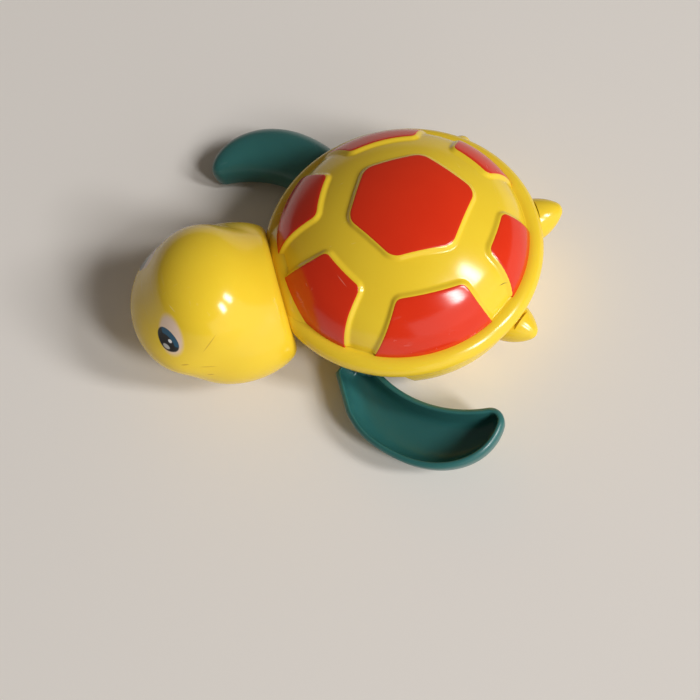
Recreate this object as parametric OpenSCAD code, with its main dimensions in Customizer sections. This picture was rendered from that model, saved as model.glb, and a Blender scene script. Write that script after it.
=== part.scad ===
// Wind-up swimming turtle bath toy. Lengths are in millimetres.
// X runs forward to the head, Y to the turtle's left, Z up. The belly's flat rests on Z = 0.

/* [Shell] */
// Height of the dome's base plane above the table
base_z = 20.3; // [18:0.1:24]
// Height of the dome above its base plane, measured on the red panels
dome_h = 21.2; // [18:0.1:26]
// Radius of the dome at its base plane, measured on the red panels
dome_r = 31.4; // [28:0.1:36]
// Radius of the dome's rounded shoulder
shoulder_r = 16; // [12:0.5:19]
// Outer radius of the rim bead
rim_r = 34.5; // [32:0.1:40]
// Radius of the rim bead's section
bead_r = 3; // [2:0.1:4]
// Height of the joint between shell and pan
seam_z = 17.2; // [16:0.1:18]
// Wall thickness under the yellow surface
shell_wall = 1.8; // [1.2:0.1:2.5]
// How far the red panels stand above the yellow surface
panel_step = 0.5; // [0.2:0.1:1]
// Width of the raised yellow border round a panel
panel_border = 1; // [0.5:0.1:2]
// Height of the outer panels' lower edge above the base plane
sill_h = 3; // [2:0.1:5]

/* [Pan] */
// Radius of the flat the toy rests on
flat_r = 18; // [14:0.5:22]
// Radius of the bowl's side
bowl_r = 14; // [12:0.5:16]
// Wall thickness of the pan
pan_wall = 1.6; // [1.2:0.1:2.5]
// Distance of a flipper well's inner face from the middle
well_y = 17.5; // [16:0.5:20]
// Radius of a flipper well round the shaft
well_r = 9.3; // [9:0.1:9.6]

/* [Head] */
// Plane where head and body meet
neck_x = 31.4; // [29:0.1:33]
// Wall thickness of the head
head_wall = 1.8; // [1.2:0.1:2.5]
// Radius of the neck tube
neck_r = 6.3; // [5:0.1:8]

/* [Flippers] */
// Shaft position along the body
shaft_x = 15.2; // [12:0.1:18]
// Shaft height above the table
shaft_z = 7.5; // [7:0.1:9]
// Radius of the cross shaft
shaft_r = 1.5; // [1:0.1:2]
// Angle of the flippers in the picture, tip of the left one up
flipper_angle = 8; // [0:0.5:10]
// Depth of the scoop below its lip
scoop_depth = 8.5; // [6:0.1:10]
// Height of the lip over the shaft's axis
lip_h = 2; // [0:0.1:3]
// Wall thickness of a flipper
flipper_wall = 1.4; // [1:0.1:2]

/* [Clockwork] */
// Module of the gears
gear_m = 0.6; // [0.5:0.05:0.7]
// Teeth on the output pinion
out_teeth = 12; // [10:1:14]
// Teeth on the intermediate wheel
mid_teeth = 24; // [20:1:28]
// Teeth on the intermediate pinion
mid_pinion_teeth = 10; // [10:1:14]
// Teeth on the great wheel
great_teeth = 36; // [30:1:40]
// Direction from the shaft to the intermediate wheel, degrees
mid_dir = 125; // [110:1:140]
// Direction from the intermediate wheel to the great wheel, degrees
great_dir = 170; // [160:1:185]
// Play between meshing flanks
backlash = 0.16; // [0.05:0.01:0.3]
// Wall thickness of the gearbox
case_wall = 1.3; // [1:0.1:2]
// Clearance round a turning shaft
running = 0.05; // [0.02:0.01:0.1]

/* [Hidden] */
$fn = 96;
eps = 0.01;
shell_in = panel_step + shell_wall;
neck_z = seam_z;

// Dome section: a shoulder arc at the rim running tangent into a crown arc
shoulder_c = dome_r - shoulder_r;
crown_r = (shoulder_c * shoulder_c + dome_h * dome_h - shoulder_r * shoulder_r) / (2 * (dome_h - shoulder_r));
crown_c = dome_h - crown_r;
bead_c = rim_r - bead_r;
bead_z = base_z - 0.2;
spigot_r = dome_r - shell_in - 0.1;

// Panel corners seen from above, left side, each list starts at the edge facing the middle panel
centre_plan = [[10.9, 0], [3.9, 12.3], [-9.7, 12.7], [-18.8, 0], [-9.7, -12.7], [3.9, -12.3]];
front_top = [[18.3, 5.1], [13, 16.1]];
front_low = [[20.2, 23.6], [28.2, 4]];
side_top = [[5.9, 21.1], [-10.2, 21.3]];
side_low = [[-14.8, 27.4], [13.9, 27.8]];
rear_top = [[-18, 14.9], [-24, 5.6]];
rear_low = [[-30.2, 7.1], [-21.2, 22.8]];
front_aim = [31, 52];
side_aim = [91, 52];
rear_aim = [149, 54];
aim_z = base_z - 5;

// Screw places in plan
front_screw = [24.7, 12.6];
rear_screw = [-15.9, 22.4];
boss_z = 10;
ear_x = -20.4;
ear_y = 6;
ear_z = 8;

// Gear centres as X and Z
mid_gap = gear_m * (out_teeth + mid_teeth) / 2;
great_gap = gear_m * (mid_pinion_teeth + great_teeth) / 2;
out_c = [shaft_x, shaft_z];
mid_c = out_c + mid_gap * [cos(mid_dir), sin(mid_dir)];
great_c = mid_c + great_gap * [cos(great_dir), sin(great_dir)];
mid_pin_r = 0.9;
arbor_r = 2;
case_y = [-10.5, 7.1];
case_split = 1.4;
case_plan = [[21.8, 4.4], [21.8, 15.5], [11, 31.6], [-10, 32], [-17.8, 26.5], [-17.8, 5], [-14, 2.6], [16.5, 1.85]];
case_screws = [[19, 13.9], [7.6, 28.2], [-14.7, 6.6], [3, 5.4]];
mid_wheel_y = [-1.6, 0.4];
mid_pinion_y = [0.4, 5];
great_y = [2.2, 4.2];
out_pinion_y = [-2.2, 1];
spring_y = [-8.6, -3];

yellow = [0.97, 0.8, 0.12];
red = [0.9, 0.22, 0.1];
teal = [0.16, 0.42, 0.42];
white = [0.9, 0.9, 0.88];
brown = [0.35, 0.33, 0.3];
steel = [0.72, 0.73, 0.75];

// Height of the panel surface over the base plane at a distance from the middle
function dome_z(r) =
    r * -crown_c < (sqrt(max(0, crown_r * crown_r - r * r))) * shoulder_c
        ? crown_c + sqrt(crown_r * crown_r - r * r)
        : sqrt(max(0, shoulder_r * shoulder_r - (r - shoulder_c) * (r - shoulder_c)));

// A plan point on the panel surface, then seen along an outer panel's own axis
function on_dome(p) = [p[0], p[1], base_z + dome_z(norm(p))];
function seen(p, a) =
    let(q = p - [0, 0, aim_z])
    let(t = [q[0] * cos(a[0]) + q[1] * sin(a[0]), q[1] * cos(a[0]) - q[0] * sin(a[0]), q[2]])
    [t[0] * cos(a[1]) - t[2] * sin(a[1]), t[1]];
function unit(v) = v / norm(v);

// A convex outline moved outward by d, its corners at the meeting of the moved edges
function area2(p) = [for (i = [0 : len(p) - 1]) let(a = p[i], b = p[(i + 1) % len(p)]) a[0] * b[1] - b[0] * a[1]] * [for (i = p) 1];
function out_dir(a, b, s) = s * [unit(b - a)[1], -unit(b - a)[0]];
function grown(p, d) =
    let(s = sign(area2(p)), n = len(p))
    [for (i = [0 : n - 1])
        let(u = out_dir(p[(i + n - 1) % n], p[i], s), v = out_dir(p[i], p[(i + 1) % n], s))
        p[i] + d * (u + v) / (1 + u * v)];

// The outline with each corner rounded to radius r
function rounded(p, r, steps = 4) =
    let(n = len(p))
    [for (i = [0 : n - 1])
        let(a = unit(p[(i + n - 1) % n] - p[i]), b = unit(p[(i + 1) % n] - p[i]))
        let(half = acos(a * b) / 2, c = p[i] + unit(a + b) * r / sin(half))
        let(s = p[i] + a * r / tan(half) - c, e = p[i] + b * r / tan(half) - c)
        for (k = [0 : steps]) let(w = (90 - half) * 2 * k / steps)
            c + (s * sin(180 - 2 * half - w) + e * sin(w)) / sin(180 - 2 * half)];

// Involute tooth outline
function inv(x) = tan(x) * 180 / PI - x;
function half_tooth(r, rp, rb, z) =
    90 / z - backlash * 90 / (PI * rp) + inv(acos(rb / rp)) - inv(acos(min(1, rb / r)));
function gear_points(z) =
    let(rp = gear_m * z / 2, rb = rp * cos(22), ra = rp + 0.85 * gear_m, rf = rp - 1.1 * gear_m)
    let(r0 = max(rb, rf + 0.12), step = (ra - r0) / 3)
    [for (i = [0 : z - 1]) let(t = 360 * i / z)
        for (q = concat(
            [[rf, -(half_tooth(r0, rp, rb, z) + 180 / z) / 2]],
            [for (k = [0 : 3]) [r0 + k * step, -half_tooth(r0 + k * step, rp, rb, z)]],
            [for (k = [3 : -1 : 0]) [r0 + k * step, half_tooth(r0 + k * step, rp, rb, z)]],
            [[rf, (half_tooth(r0, rp, rb, z) + 180 / z) / 2]]))
            q[0] * [cos(t + q[1]), sin(t + q[1])]];

// A plate seen along Y: an outline in X and Z between two Y planes
module plate(y) {
    translate([0, y[1], 0]) rotate([90, 0, 0]) linear_extrude(y[1] - y[0]) children();
}

// A round bar along Y
module bar(c, r, y) {
    translate([c[0], y[0], c[1]]) rotate([-90, 0, 0]) cylinder(r = r, h = y[1] - y[0]);
}

module left_right() {
    children();
    mirror([0, 1, 0]) children();
}

// A quarter of an oval drawn with two arcs: a along X, b along Y, rim arc r, moved out by t
module quarter(a, b, r, t) {
    far = 80;
    c = a - r;
    big = (c * c + b * b - r * r) / (2 * (b - r));
    ray = [c, 0] + far * unit([c, big - b]);
    intersection() {
        translate([0, b - big]) circle(big + t);
        polygon([[0, 0], [c, 0], ray, [0, far]]);
    }
    intersection() {
        translate([c, 0]) circle(r + t);
        polygon([[c, 0], [far, 0], [far, far], ray]);
    }
}

// An oval turned about its long axis, along X
module egg(a, b, r, t) {
    rotate([0, 90, 0]) rotate_extrude() {
        mirror([1, -1]) quarter(a, b, r, t);
        mirror([0, 1]) mirror([1, -1]) quarter(a, b, r, t);
    }
}

// The dome as a solid, its surface moved out by t from the panel surface
module dome(t) {
    translate([0, 0, base_z]) rotate_extrude() quarter(dome_r, dome_h, shoulder_r, t);
}

module centre_prism(d) {
    translate([0, 0, base_z]) linear_extrude(60) polygon(rounded(grown(centre_plan, d), 1.6 + d));
}

// An outer panel's outline, carried down past its lower edge and seen along the panel's axis
module outer_prism(top, low, aim, d) {
    t = [for (p = top) seen(on_dome(p), aim)];
    l = [for (p = low) seen(on_dome(p), aim)];
    run = [l[0] + 6 * unit(l[0] - t[1]), l[1] + 6 * unit(l[1] - t[0])];
    translate([0, 0, aim_z]) rotate([0, aim[1], aim[0]])
        linear_extrude(60) polygon(rounded(grown(concat(t, run), d), 1.4 + d));
}

module front_prism(d) outer_prism(front_top, front_low, front_aim, d);
module side_prism(d) outer_prism(side_top, side_low, side_aim, d);
module rear_prism(d) outer_prism(rear_top, rear_low, rear_aim, d);

// Room above the outer panels' lower edge
module above_sill(h) {
    translate([-50, -50, base_z + h]) cube([100, 100, 50]);
}

// Neck collar: a broad round hood that rises over the rim in front
module collar_room(d) {
    translate([18, 0, base_z - 13.3]) rotate([0, 90, 0]) cylinder(r = 22 + d, h = 30);
}

module outer_panel(part) {
    difference() {
        intersection() {
            dome(0);
            above_sill(sill_h);
            if (part == "front") front_prism(0);
            if (part == "side") side_prism(0);
            if (part == "rear") rear_prism(0);
        }
        dome(-shell_in);
        if (part == "front") collar_room(0);
    }
    difference() {
        intersection() {
            dome(-shell_in);
            above_sill(sill_h - 1.2);
            if (part == "front") front_prism(1.2);
            if (part == "side") side_prism(1.2);
            if (part == "rear") rear_prism(1.2);
        }
        dome(-shell_in - 1);
        if (part == "front") collar_room(-1);
    }
}

module scute_centre() color(red) {
    difference() {
        intersection() {
            dome(0);
            centre_prism(0);
        }
        dome(-shell_in);
    }
    difference() {
        intersection() {
            dome(-shell_in);
            centre_prism(1.2);
        }
        dome(-shell_in - 1);
    }
}

module scute_front_left() color(red) outer_panel("front");
module scute_front_right() color(red) mirror([0, 1, 0]) outer_panel("front");
module scute_left() color(red) outer_panel("side");
module scute_right() color(red) mirror([0, 1, 0]) outer_panel("side");
module scute_rear_left() color(red) outer_panel("rear");
module scute_rear_right() color(red) mirror([0, 1, 0]) outer_panel("rear");

module upper_shell() color(yellow) {
    difference() {
        union() {
            dome(-panel_step);
            rotate_extrude() intersection() {
                union() {
                    translate([bead_c, bead_z]) circle(bead_r);
                    translate([0, seam_z]) square([bead_c, base_z - seam_z + 1]);
                }
                translate([0, seam_z]) square([60, 30]);
            }
            // Hood over the neck, kept inside the rim circle
            intersection() {
                collar_room(0);
                translate([0, 0, seam_z]) cylinder(r = rim_r, h = 30);
                translate([18, -30, seam_z]) cube([30, 60, 30]);
            }
            // Raised borders
            intersection() {
                dome(-0.05);
                centre_prism(panel_border);
            }
            left_right() {
                intersection() {
                    dome(-0.05);
                    front_prism(panel_border);
                }
                intersection() {
                    dome(-0.05);
                    side_prism(panel_border);
                }
                intersection() {
                    dome(-0.05);
                    rear_prism(panel_border);
                }
            }
        }
        // Hollow inside
        difference() {
            rotate_extrude() {
                translate([0, base_z]) quarter(dome_r, dome_h, shoulder_r, -shell_in);
                square([dome_r - shell_in, base_z]);
            }
            for (p = [front_screw, rear_screw]) left_right()
                translate([p[0], p[1], boss_z]) cylinder(r = 2.4, h = base_z + sill_h - 1.4 - boss_z);
        }
        // Windows for the panels
        centre_prism(0);
        left_right() {
            difference() {
                intersection() {
                    front_prism(0);
                    above_sill(sill_h);
                }
                collar_room(0);
            }
            intersection() {
                side_prism(0);
                above_sill(sill_h);
            }
            intersection() {
                rear_prism(0);
                above_sill(sill_h);
            }
        }
        // Flat front and neck hole
        translate([neck_x, -40, 0]) cube([40, 80, 80]);
        translate([0, 0, neck_z]) rotate([0, 90, 0]) cylinder(r = neck_r, h = 60);
        for (p = [front_screw, rear_screw]) left_right()
            translate([p[0], p[1], boss_z - 1]) cylinder(r = 1, h = 9);
    }
    // Screw posts below the joint
    difference() {
        for (p = [front_screw, rear_screw]) left_right()
            translate([p[0], p[1], boss_z]) cylinder(r = 2.4, h = seam_z - boss_z + 1);
        for (p = [front_screw, rear_screw]) left_right()
            translate([p[0], p[1], boss_z - 1]) cylinder(r = 1, h = 9);
    }
}

// A rounded nub, turned up by pitch and round by turn
module nub(at, half, r, end_r, turn, pitch) {
    translate(at) rotate([0, -pitch, turn]) egg(half, r, end_r, 0);
}

module feet_and_tail() {
    left_right() nub([-18.6, 22.2, 13.6], 9.9, 5.6, 2.4, 129, 6);
    nub([-31.4, 0, 15.2], 9.9, 5.6, 2.4, 180, 16);
}

module bowl(d, top) {
    rotate_extrude() {
        translate([0, d]) square([flat_r, top - d]);
        intersection() {
            translate([flat_r, bowl_r]) circle(bowl_r - d);
            translate([flat_r, -20]) square([60, 20 + top]);
        }
    }
}

module wells(r, y) {
    left_right() bar(out_c, r, [y, 50]);
}

module belly_pan() color(yellow) {
    difference() {
        union() {
            bowl(0, seam_z);
            difference() {
                feet_and_tail();
                translate([0, 0, seam_z]) cylinder(r = rim_r + 0.1, h = 20);
            }
            // Spigot inside the shell, and the roofs of the wells
            difference() {
                translate([0, 0, seam_z - 1]) cylinder(r = spigot_r, h = 2.8);
                translate([0, 0, seam_z - 2]) cylinder(r = spigot_r - 1.4, h = 8);
            }
            intersection() {
                wells(well_r + 1.4, well_y - pan_wall);
                union() {
                    bowl(0, seam_z - 0.5);
                    translate([0, 0, seam_z - 1]) cylinder(r = spigot_r, h = 2.8);
                }
            }
        }
        // Hollow inside, with the wells, posts and screw tubes left standing
        difference() {
            union() {
                bowl(pan_wall, seam_z - 1);
                translate([0, 0, seam_z - 1 - eps]) cylinder(r = spigot_r - 1.4, h = 4);
            }
            wells(well_r + 1.4, well_y - pan_wall);
            for (p = [front_screw, rear_screw]) left_right()
                translate([p[0], p[1], 0]) cylinder(r = 3.4, h = boss_z);
            for (s = [-1, 1]) translate([ear_x, s * ear_y, 0]) cylinder(r = 2.6, h = ear_z);
        }
        wells(well_r, well_y);
        bar(out_c, shaft_r + running, [-30, 30]);
        for (p = [front_screw, rear_screw]) left_right() {
            translate([p[0], p[1], -1]) cylinder(r = 2.3, h = 8);
            translate([p[0], p[1], 0]) cylinder(r = 1.2, h = 20);
        }
        for (p = [front_screw, rear_screw]) left_right()
            translate([p[0], p[1], boss_z]) cylinder(r = 2.6, h = 12);
        for (s = [-1, 1]) translate([ear_x, s * ear_y, ear_z - 6]) cylinder(r = 0.9, h = 12);
        // Flat front and neck hole
        translate([neck_x, -40, 0]) cube([40, 80, 80]);
        translate([0, 0, neck_z]) rotate([0, 90, 0]) cylinder(r = neck_r, h = 60);
    }
}

// Head: skull, muzzle, nape and two cheeks flowing into one another, found section by section round one axis
head_z = base_z - 1.3;
skull_c = [48.7, 0, base_z + 5];
skull_half = [14.4, 17.1, 14];
skull_pitch = 4;
muzzle_c = [54.3, 0, base_z + 0.4];
muzzle_half = [14.3, 18.2, 10.3];
nape_c = [42, 0, base_z + 0.2];
nape_half = [16, 17.3, 11.6];
cheek_c = [43.7, 11.4, base_z - 3.8];
cheek_half = [15.3, 9.8, 10.4];
head_rings = 24;
head_sides = 48;

function shrunk(q, h) = [q[0] / h[0], q[1] / h[1], q[2] / h[2]];
function oval_gap(q, h) =
    let(k = norm(shrunk(q, h)))
    k * (k - 1) / norm(shrunk(shrunk(q, h), h));
function pitched(q, a) = [q[0] * cos(a) - q[2] * sin(a), q[1], q[0] * sin(a) + q[2] * cos(a)];
function flow(a, b, k) = min(a, b) - pow(max(k - abs(a - b), 0), 2) / (4 * k);
function head_gap(p) =
    flow(flow(flow(oval_gap(pitched(p - skull_c, skull_pitch), skull_half),
        oval_gap(p - muzzle_c, muzzle_half), 4), oval_gap(p - nape_c, nape_half), 4),
        oval_gap([p[0], abs(p[1]), p[2]] - cheek_c, cheek_half), 3);
// Reach from the head's axis in the section at x, and reach of the axis itself, to the surface at depth t
function head_reach(x, v, t, lo, hi, n) =
    n == 0 ? (lo + hi) / 2
    : head_gap([x, cos(v) * (lo + hi) / 2, head_z + sin(v) * (lo + hi) / 2]) > t
        ? head_reach(x, v, t, lo, (lo + hi) / 2, n - 1)
    : head_reach(x, v, t, (lo + hi) / 2, hi, n - 1);
function nose_reach(t, lo, hi, n) =
    n == 0 ? (lo + hi) / 2
    : head_gap([(lo + hi) / 2, 0, head_z]) > t ? nose_reach(t, lo, (lo + hi) / 2, n - 1)
    : nose_reach(t, (lo + hi) / 2, hi, n - 1);

// Head's form from a flat back at x0, its surface at depth t, with the given numbers of rings and sides
module head_form(t, x0, rings, sides) {
    nose = nose_reach(t, 45, 90, 24);
    skin = [for (i = [0 : rings - 1]) for (k = [0 : sides - 1])
        let(x = x0 + (nose - x0) * sin(90 * i / rings), v = 360 * k / sides, r = head_reach(x, v, t, 0, 40, 24))
        [x, r * cos(v), head_z + r * sin(v)]];
    n = len(skin);
    polyhedron(
        points = concat(skin, [[x0, 0, head_z], [nose, 0, head_z]]),
        faces = concat(
            [for (i = [0 : rings - 2]) for (k = [0 : sides - 1])
                let(a = i * sides + k, b = i * sides + (k + 1) % sides)
                [a, a + sides, b]],
            [for (i = [0 : rings - 2]) for (k = [0 : sides - 1])
                let(a = i * sides + k, b = i * sides + (k + 1) % sides)
                [b, a + sides, b + sides]],
            [for (k = [0 : sides - 1]) [n, k, (k + 1) % sides]],
            [for (k = [0 : sides - 1]) [n + 1, n - sides + (k + 1) % sides, n - sides + k]]));
}

module head() color(yellow) {
    difference() {
        union() {
            head_form(0, neck_x, head_rings, head_sides);
            translate([24.8, 0, neck_z]) rotate([0, 90, 0]) cylinder(r = neck_r, h = 10);
            translate([24.8, 0, neck_z]) rotate([0, 90, 0]) cylinder(r = neck_r + 1.6, h = 1.3);
        }
        head_form(-head_wall, neck_x + head_wall, head_rings / 2, head_sides / 2);
        translate([20, 0, neck_z]) rotate([0, 90, 0]) cylinder(r = neck_r - 1.8, h = 20);
    }
}

// Flipper in its own frame: X to the tip, Y outward, Z to the open side, shaft on the Y axis
lobe_c = [10.4, 34.3];
lobe_half = [22, 17.3];
lobe_turn = 57.2;
bay_c = [29.6, 13.6];
bay_r = 30.4;
bay_round = 9;
hub_y = [18, 27];

module scoop(d) {
    difference() {
        intersection() {
            translate([lobe_c[0], lobe_c[1], lip_h]) rotate(lobe_turn)
                scale([lobe_half[0] - d, lobe_half[1] - d, scoop_depth - d]) sphere(1);
            translate([-30, hub_y[0] + d, lip_h - 20]) cube([80, 60, 20]);
        }
        translate([bay_c[0], bay_c[1], lip_h]) rotate_extrude() difference() {
            translate([0, -12]) square([bay_r + bay_round, 13]);
            translate([bay_r + bay_round, 0]) circle(bay_round - d);
        }
    }
}

module flipper() {
    difference() {
        union() {
            scoop(0);
            translate([0, hub_y[0], 0]) rotate([-90, 0, 0]) cylinder(r = 4, h = hub_y[1] - hub_y[0]);
        }
        difference() {
            translate([0, 0, eps]) scoop(flipper_wall);
            translate([0, 0, 0]) rotate([-90, 0, 0]) cylinder(r = 4, h = hub_y[1]);
        }
        rotate([-90, 0, 0]) cylinder(r = shaft_r, h = 25);
    }
}

module left_flipper() color(teal)
    translate([shaft_x, 0, shaft_z]) rotate([0, flipper_angle, 0]) mirror([1, 0, 0]) flipper();

module right_flipper() color(teal)
    translate([shaft_x, 0, shaft_z]) rotate([0, flipper_angle, 0]) rotate([180, 0, 0]) flipper();

module cross_shaft() color(steel) bar(out_c, shaft_r, [-25, 25]);

module output_pinion() color(white) difference() {
    plate(out_pinion_y) translate(out_c) rotate(mid_dir) polygon(gear_points(out_teeth));
    bar(out_c, shaft_r, [-6, 6]);
}

module intermediate_gear() color(white) difference() {
    union() {
        plate(mid_wheel_y) translate(mid_c) rotate(mid_dir + 180 + 180 / mid_teeth) polygon(gear_points(mid_teeth));
        plate(mid_pinion_y) translate(mid_c) rotate(great_dir) polygon(gear_points(mid_pinion_teeth));
    }
    bar(mid_c, mid_pin_r, [-6, 9]);
}

module intermediate_pin() color(steel) bar(mid_c, mid_pin_r, [case_y[0] + 0.2, case_y[1] - 0.2]);

module great_wheel() color(white) difference() {
    union() {
        plate(great_y) translate(great_c) rotate(great_dir + 180 + 180 / great_teeth) polygon(gear_points(great_teeth));
        bar(great_c, 4, [-2.6, great_y[1]]);
    }
    bar(great_c, arbor_r, [-6, 9]);
}

module spring_arbor() color(steel) bar(great_c, arbor_r, [case_y[0] + 0.2, case_y[1] - 0.2]);

// Mainspring: a flat strip wound on its arbor in an even spiral
spring_turns = 6;
spring_t = 0.35;
spring_gap = 1.42;
spring_steps = 24;
module mainspring() color(steel) plate(spring_y) translate(great_c) {
    n = spring_turns * spring_steps;
    r = [for (i = [0 : n]) arbor_r + spring_gap * i / spring_steps];
    a = 360 / spring_steps;
    polygon(concat(
        [for (i = [0 : n]) r[i] * [cos(a * i), sin(a * i)]],
        [for (i = [n : -1 : 0]) (r[i] + spring_t) * [cos(a * i), sin(a * i)]]));
}

// Gearbox: two trays that meet on one plane
module case_tray(y) {
    difference() {
        union() {
            plate(y) polygon(rounded(case_plan, 2));
            // Feet on the pan's floor
            for (x = [-10, 8]) translate([x, max(y[0], -8), pan_wall]) cube([6, min(y[1], 6) - max(y[0], -8), 3]);
        }
        difference() {
            plate([max(y[0], case_y[0] + case_wall), min(y[1], case_y[1] - case_wall)])
                polygon(rounded(grown(case_plan, -case_wall), 1));
            for (p = case_screws) bar(p, 2, case_y);
        }
        bar(out_c, shaft_r + running, case_y);
        bar(mid_c, mid_pin_r + running, case_y);
        bar(great_c, arbor_r + running, case_y);
        for (p = case_screws) bar(p, 0.9, [case_y[1] - 12, case_y[1]]);
    }
}

// Fixing ear at the back of a tray
module ear(s) {
    difference() {
        translate([ear_x - 2.6, s * ear_y - 2.6, ear_z]) cube([-17 - ear_x + 2.6, 5.2, 1.6]);
        translate([ear_x, s * ear_y, ear_z - 1]) cylinder(r = 0.9, h = 4);
    }
}

module gearbox_left() color(brown) {
    case_tray([case_split, case_y[1]]);
    intersection() {
        ear(1);
        translate([-30, case_split, 0]) cube([13, 20, 20]);
    }
}

module gearbox_right() color(brown) {
    case_tray([case_y[0], case_split]);
    ear(-1);
}

// A self-tapping screw pointing up, its head's bearing face at the origin
module screw(r, len, head_r, head_h) {
    translate([0, 0, -head_h]) difference() {
        cylinder(r = head_r, h = head_h);
        translate([0, 0, -1]) intersection() {
            cylinder(r = head_r - 0.5, h = 1.7);
            union() {
                translate([-3, -0.25, 0]) cube([6, 0.5, 4]);
                translate([-0.25, -3, 0]) cube([0.5, 6, 4]);
            }
        }
    }
    cylinder(r = r, h = len - 1);
    translate([0, 0, len - 1]) cylinder(r1 = r, r2 = 0.3, h = 1);
}

module body_screws() color(steel)
    for (p = [front_screw, rear_screw]) left_right() translate([p[0], p[1], 7]) screw(1, 10, 2.1, 1.4);

module gearbox_screws() color(steel)
    for (p = case_screws) translate([p[0], case_y[1], p[1]]) rotate([90, 0, 0]) screw(0.9, 11, 1.8, 1.2);

module mount_screws() color(steel)
    for (s = [-1, 1]) translate([ear_x, s * ear_y, ear_z + 1.6]) rotate([180, 0, 0]) screw(0.9, 7, 1.8, 1.2);

upper_shell();
scute_centre();
scute_front_left();
scute_front_right();
scute_left();
scute_right();
scute_rear_left();
scute_rear_right();
belly_pan();
head();
left_flipper();
right_flipper();
cross_shaft();
output_pinion();
intermediate_gear();
intermediate_pin();
great_wheel();
spring_arbor();
mainspring();
gearbox_left();
gearbox_right();
body_screws();
gearbox_screws();
mount_screws();
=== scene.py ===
# %% [markdown]
# # A wind-up swimming turtle
# The real object is a hard bath toy: a yellow hull with red shell panels, a broad yellow head and two teal
# scoop flippers on one cross shaft. Everything shiny here is injection-moulded plastic, so clean curves
# matter most: a glossy surface shows each wobble. The big forms are therefore computed point by point from
# short formulas, in the CAD model's own sizes, and the hidden clockwork keeps its CAD meshes.

# %% Tools
import math

import bpy
import numpy as np
from mathutils import Matrix, Vector


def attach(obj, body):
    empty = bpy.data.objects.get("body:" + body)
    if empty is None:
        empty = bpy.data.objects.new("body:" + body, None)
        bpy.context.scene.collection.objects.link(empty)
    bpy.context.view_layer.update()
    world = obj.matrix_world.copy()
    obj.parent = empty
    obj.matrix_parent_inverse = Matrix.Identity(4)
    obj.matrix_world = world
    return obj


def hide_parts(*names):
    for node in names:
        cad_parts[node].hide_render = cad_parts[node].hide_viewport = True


MM = 0.001
FULL_TURN = 2 * math.pi
scene = bpy.context.scene
scene.view_settings.view_transform = "Standard"


def put_in_scene(name, data):
    obj = bpy.data.objects.new(name, data)
    scene.collection.objects.link(obj)
    return obj


print("Blender", bpy.app.version_string)

# %% [markdown]
# ## The camera
# The toy is seen from above and from its left side, with the camera rolled a little. The place, the turn
# and the lens were found by fitting the shell's rim and panels to the photograph. The camera comes first
# because every other choice is judged through it.

# %% Camera
CAMERA_AT = Vector((19.5, 151.61, 288.2)) * MM
CAMERA_RIGHT = Vector((-0.96288, 0.24391, -0.11566))
CAMERA_UP = Vector((-0.26989, -0.8611, 0.43088))
SENSOR_MM, LENS_MM, NEAREST_MM = 36.0, 64.29, 10.0
IMAGE_SIDE, AXIS_ABOVE_MIDDLE = 700.0, 20.0

camera_data = bpy.data.cameras.new("photo_camera")
camera_data.sensor_width = SENSOR_MM
camera_data.lens = LENS_MM
camera_data.shift_y = -AXIS_ABOVE_MIDDLE / IMAGE_SIDE
camera_data.clip_start = NEAREST_MM * MM
camera = put_in_scene("photo_camera", camera_data)
camera_turn = Matrix((CAMERA_RIGHT, CAMERA_UP, CAMERA_RIGHT.cross(CAMERA_UP))).transposed()
camera.matrix_world = Matrix.Translation(CAMERA_AT) @ camera_turn.to_4x4()
scene.camera = camera
print("camera at", [round(v, 4) for v in CAMERA_AT])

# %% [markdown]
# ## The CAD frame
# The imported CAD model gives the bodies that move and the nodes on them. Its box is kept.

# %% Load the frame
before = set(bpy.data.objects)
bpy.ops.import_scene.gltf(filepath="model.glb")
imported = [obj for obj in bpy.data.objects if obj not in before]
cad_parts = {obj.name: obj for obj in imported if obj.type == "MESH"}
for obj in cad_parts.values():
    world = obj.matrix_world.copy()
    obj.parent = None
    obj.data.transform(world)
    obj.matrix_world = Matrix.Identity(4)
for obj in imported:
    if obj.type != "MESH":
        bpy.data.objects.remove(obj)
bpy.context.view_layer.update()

# %% [markdown]
# ## Shared shader effects
# Moulded plastic is never perfectly even: its gloss wanders a little, its skin has a faint ripple, and a
# toy that has been played with carries hairline scuffs. Several finishes want these effects, so each is a
# node group with named inputs. The groups give only values; the shader stays in the material.


# %% Helpers for node trees
def wire(tree, value, socket):
    """Joins an output to a socket, or sets the socket to a plain value."""
    if isinstance(value, bpy.types.NodeSocket):
        tree.links.new(value, socket)
    else:
        socket.default_value = value


def feed(tree, node, values):
    for key, value in values.items():
        wire(tree, value, node.inputs[key])


def fed(tree, kind, values, **settings):
    """Outputs of a new node, whose named or numbered inputs get the given values."""
    node = tree.nodes.new(kind)
    for key, value in settings.items():
        setattr(node, key, value)
    feed(tree, node, values)
    return node.outputs


def new_tree(name, inputs, outputs, kind="ShaderNodeTree"):
    """A node tree with named sockets, and the sockets as they are seen from inside."""
    tree = bpy.data.node_groups.new(name, kind)
    for label, socket_type, *value in inputs:
        socket = tree.interface.new_socket(name=label, in_out="INPUT", socket_type=socket_type)
        if value:
            socket.default_value = value[0]
    for label, socket_type in outputs:
        tree.interface.new_socket(name=label, in_out="OUTPUT", socket_type=socket_type)
    return tree, tree.nodes.new("NodeGroupInput").outputs, tree.nodes.new("NodeGroupOutput").inputs


def use_group(tree, group, position, **values):
    sockets = {label.replace("_", " "): value for label, value in values.items()}
    return fed(tree, "ShaderNodeGroup", {"Position": position, **sockets}, node_tree=group)


FLOAT, VECTOR, GEOMETRY = "NodeSocketFloat", "NodeSocketVector", "NodeSocketGeometry"
print("node tree helpers ready")


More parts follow.
